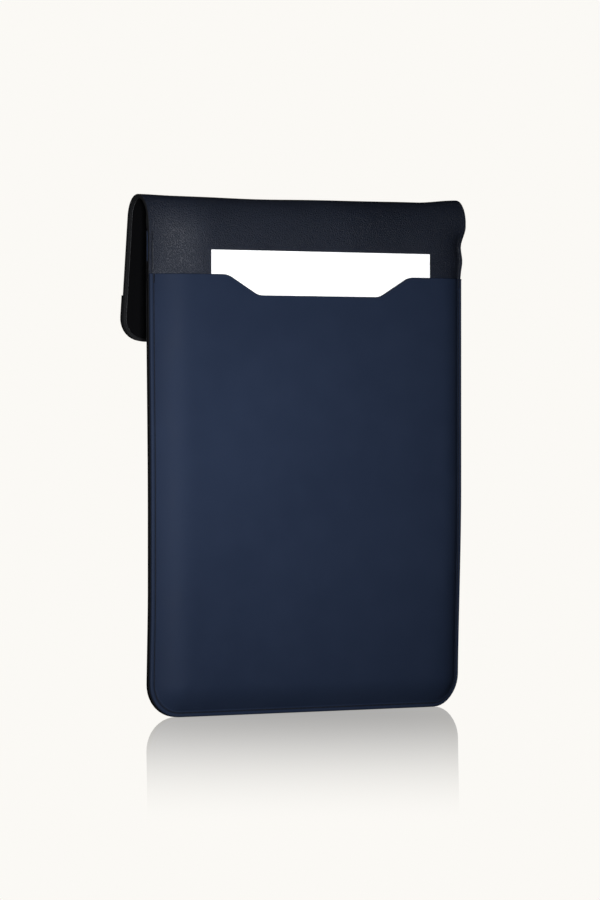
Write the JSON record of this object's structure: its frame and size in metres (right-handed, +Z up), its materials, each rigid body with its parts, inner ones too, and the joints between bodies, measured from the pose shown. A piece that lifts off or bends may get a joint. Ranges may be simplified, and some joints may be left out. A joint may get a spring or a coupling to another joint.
{
  "type": "laptop sleeve",
  "caption": "Slim upright laptop sleeve in navy grained and smooth leather, with a fold-over flap and a notched document pocket holding a sheet.",
  "frame": {"origin": "middle of the bottom sewn edge, on the plane where the back and the front halves meet", "axes": "+Z up towards the fold; +X across the width, to the right when looking at the pocket; +Y towards the front, where the flap hangs, so the back and its pocket face -Y"},
  "size_m": [0.25, 0.0462, 0.3415],
  "materials": {
    "grain_leather": "satin",
    "smooth_leather": "matte",
    "lining": "matte",
    "padding": "matte",
    "thread": "matte",
    "magnet": "satin",
    "paper": "matte"
  },
  "bodies": {
    "sleeve": {"back_leather": "grain_leather", "back_padding": "padding", "back_lining": "lining", "pocket_panel": "smooth_leather", "front_leather": "grain_leather", "front_padding": "padding", "front_lining": "lining", "mouth_facing": "smooth_leather", "front_magnets": "magnet", "hem_thread": "thread", "bar_tacks": "thread"},
    "fold_rear": {"fold_rear_leather": "grain_leather", "fold_rear_padding": "padding", "fold_rear_lining": "lining"},
    "fold_top": {"fold_top_leather": "grain_leather", "fold_top_padding": "padding", "fold_top_lining": "lining"},
    "fold_front": {"fold_front_leather": "grain_leather", "fold_front_padding": "padding", "fold_front_lining": "lining"},
    "flap": {"flap_leather": "grain_leather", "flap_padding": "padding", "flap_lining": "lining", "flap_band": "smooth_leather", "flap_magnets": "magnet", "band_thread": "thread"},
    "document": {"document_sheet": "paper"}
  },
  "joints": [
    {"name": "fold_rear_bend", "type": "hinge", "parent": "sleeve", "child": "fold_rear", "pos_m": [0, -0.01007, 0.33142], "axis": [1, 0, 0], "range_deg": [-2.2, 43.4]},
    {"name": "fold_top_bend", "type": "hinge", "parent": "fold_rear", "child": "fold_top", "pos_m": [0, -0.00194, 0.34001], "axis": [1, 0, 0], "range_deg": [-2.2, 43.4]},
    {"name": "fold_front_bend", "type": "hinge", "parent": "fold_top", "child": "fold_front", "pos_m": [0, 0.00988, 0.34067], "axis": [1, 0, 0], "range_deg": [-2.2, 43.4]},
    {"name": "flap_bend", "type": "hinge", "parent": "fold_front", "child": "flap", "pos_m": [0, 0.01891, 0.33304], "axis": [1, 0, 0], "range_deg": [-2.2, 43.4]},
    {"name": "document_slide", "type": "slide", "parent": "sleeve", "child": "document", "axis": [0, 0, 1], "range_m": [-0.035, 0.11]}
  ],
  "couplings": [
    {"joint": "fold_top_bend", "follows": "fold_rear_bend", "ratio": 1},
    {"joint": "fold_front_bend", "follows": "fold_rear_bend", "ratio": 1},
    {"joint": "flap_bend", "follows": "fold_rear_bend", "ratio": 1}
  ]
}
